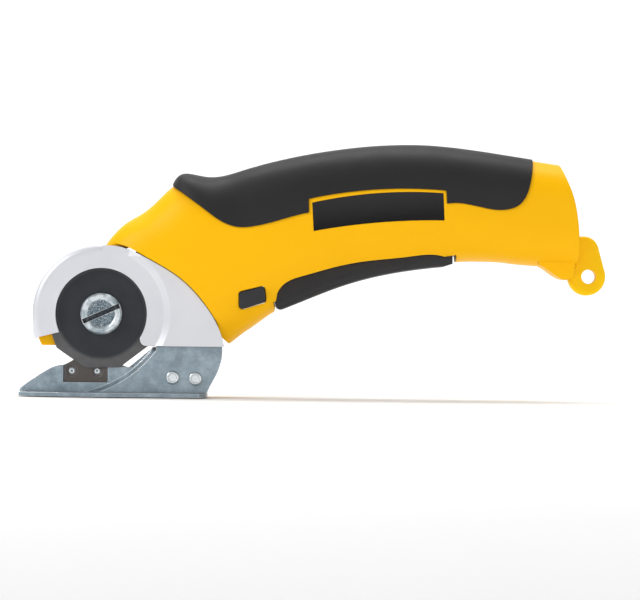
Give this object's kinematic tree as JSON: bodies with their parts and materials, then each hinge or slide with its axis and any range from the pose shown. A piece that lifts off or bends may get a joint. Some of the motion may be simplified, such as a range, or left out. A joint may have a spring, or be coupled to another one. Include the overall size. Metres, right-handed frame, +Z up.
{
  "type": "cordless rotary cutter",
  "caption": "Hand-held battery rotary cutter with a many-sided disc blade, a fixed shear blade on a flat shoe, a guard, a trigger handle and a hanging loop.",
  "frame": {"origin": "on the sole of the shoe straight below the blade axis, in the joint plane of the two body shells", "axes": "+X from the blade to the tail, +Z up from the sole, -Y is the side with the blade"},
  "size_m": [0.2594, 0.0432, 0.1132],
  "materials": {
    "shell_yellow": "satin moulded",
    "loop_yellow": "satin moulded",
    "grip_rubber": "fine-textured soft overmould",
    "plate_black": "gloss",
    "control_black": "satin moulded",
    "cover_silver": "satin silver paint on cast metal",
    "shoe_zinc": "zinc-plated, mottled",
    "blade_steel": "dark tool steel, ground bevel",
    "carbide": "sintered, ground",
    "bright_screw": "bright zinc",
    "black_screw": "black oxide",
    "bronze": "sintered",
    "gear_steel": "machined",
    "gear_nylon": "moulded",
    "motor_steel": "zinc-plated",
    "magnet": "ferrite",
    "copper_rotor": "enamelled wire",
    "cell_wrap": "shrink wrap",
    "nickel": "satin",
    "board_green": "solder mask"
  },
  "bodies": {
    "housing": {"left_shell": "shell_yellow", "right_shell": "shell_yellow", "left_grip": "grip_rubber", "right_grip": "grip_rubber", "left_nameplate": "plate_black", "right_nameplate": "plate_black", "hang_loop": "loop_yellow", "head_cover": "cover_silver", "cover_screws": "bright_screw", "housing_screws": "black_screw", "front_bushing": "bronze", "rear_bushing": "bronze", "output_bushing": "bronze", "shoe_plate": "shoe_zinc", "shoe_back_plate": "shoe_zinc", "shoe_rivets": "bright_screw", "shoe_screws": "bright_screw", "fixed_blade": "carbide", "fixed_blade_screws": "bright_screw", "ring_gear": "gear_nylon", "motor_can": "motor_steel", "motor_magnets": "magnet", "motor_end_cap": "control_black", "battery_cell": "cell_wrap", "battery_tabs": "nickel", "circuit_board": "board_green", "charging_socket": "control_black", "switch_body": "control_black", "trigger_pin": "bright_screw", "trigger_spring": "bright_screw"},
    "blade": {"rotary_blade": "blade_steel", "blade_screw": "bright_screw", "spindle": "gear_steel", "bevel_gear": "gear_steel"},
    "carrier": {"output_pinion": "gear_steel"},
    "planet_1": {"planet_gear_1": "gear_nylon"},
    "planet_2": {"planet_gear_2": "gear_nylon"},
    "planet_3": {"planet_gear_3": "gear_nylon"},
    "rotor": {"motor_rotor": "copper_rotor", "sun_gear": "bronze"},
    "trigger": {"trigger": "control_black"},
    "plunger": {"switch_plunger": "bronze"},
    "lock_button": {"lock_button": "control_black"}
  },
  "joints": [
    {"name": "motor_spin", "type": "hinge", "parent": "housing", "child": "rotor", "pos_m": [0, 0.002, 0.0365], "axis": [0.8942, 0, 0.4478], "continuous": true},
    {"name": "carrier_spin", "type": "hinge", "parent": "housing", "child": "carrier", "pos_m": [0, 0.002, 0.0365], "axis": [0.8942, 0, 0.4478], "continuous": true},
    {"name": "blade_spin", "type": "hinge", "parent": "housing", "child": "blade", "pos_m": [0, 0, 0.0365], "axis": [0, 1, 0], "continuous": true},
    {"name": "trigger_pull", "type": "hinge", "parent": "housing", "child": "trigger", "pos_m": [0.15, 0, 0.066], "axis": [0, 1, 0], "range_deg": [0, 4], "stiffness_Nm_per_rad": 0.6, "springref_deg": -6.88, "deforming": ["trigger_spring"]},
    {"name": "plunger_push", "type": "slide", "parent": "housing", "child": "plunger", "axis": [0, 0, 1], "range_m": [0, 0.0043]},
    {"name": "lock_push", "type": "slide", "parent": "housing", "child": "lock_button", "axis": [0, 1, 0], "range_m": [0, 0.003]},
    {"name": "planet_spin_1", "type": "hinge", "parent": "carrier", "child": "planet_1", "pos_m": [0.03666, 0.0092, 0.05486], "axis": [0.8942, 0, 0.4478], "continuous": true},
    {"name": "planet_spin_2", "type": "hinge", "parent": "carrier", "child": "planet_2", "pos_m": [0.03387, -0.0016, 0.06043], "axis": [0.8942, 0, 0.4478], "continuous": true},
    {"name": "planet_spin_3", "type": "hinge", "parent": "carrier", "child": "planet_3", "pos_m": [0.03945, -0.0016, 0.04928], "axis": [0.8942, 0, 0.4478], "continuous": true}
  ],
  "couplings": [
    {"joint": "carrier_spin", "follows": "motor_spin", "ratio": 0.125},
    {"joint": "blade_spin", "follows": "motor_spin", "ratio": -0.03125},
    {"joint": "plunger_push", "follows": "trigger_pull", "m_per_rad": 0.059},
    {"joint": "planet_spin_1", "follows": "motor_spin", "ratio": -0.29167},
    {"joint": "planet_spin_2", "follows": "motor_spin", "ratio": -0.29167},
    {"joint": "planet_spin_3", "follows": "motor_spin", "ratio": -0.29167}
  ]
}
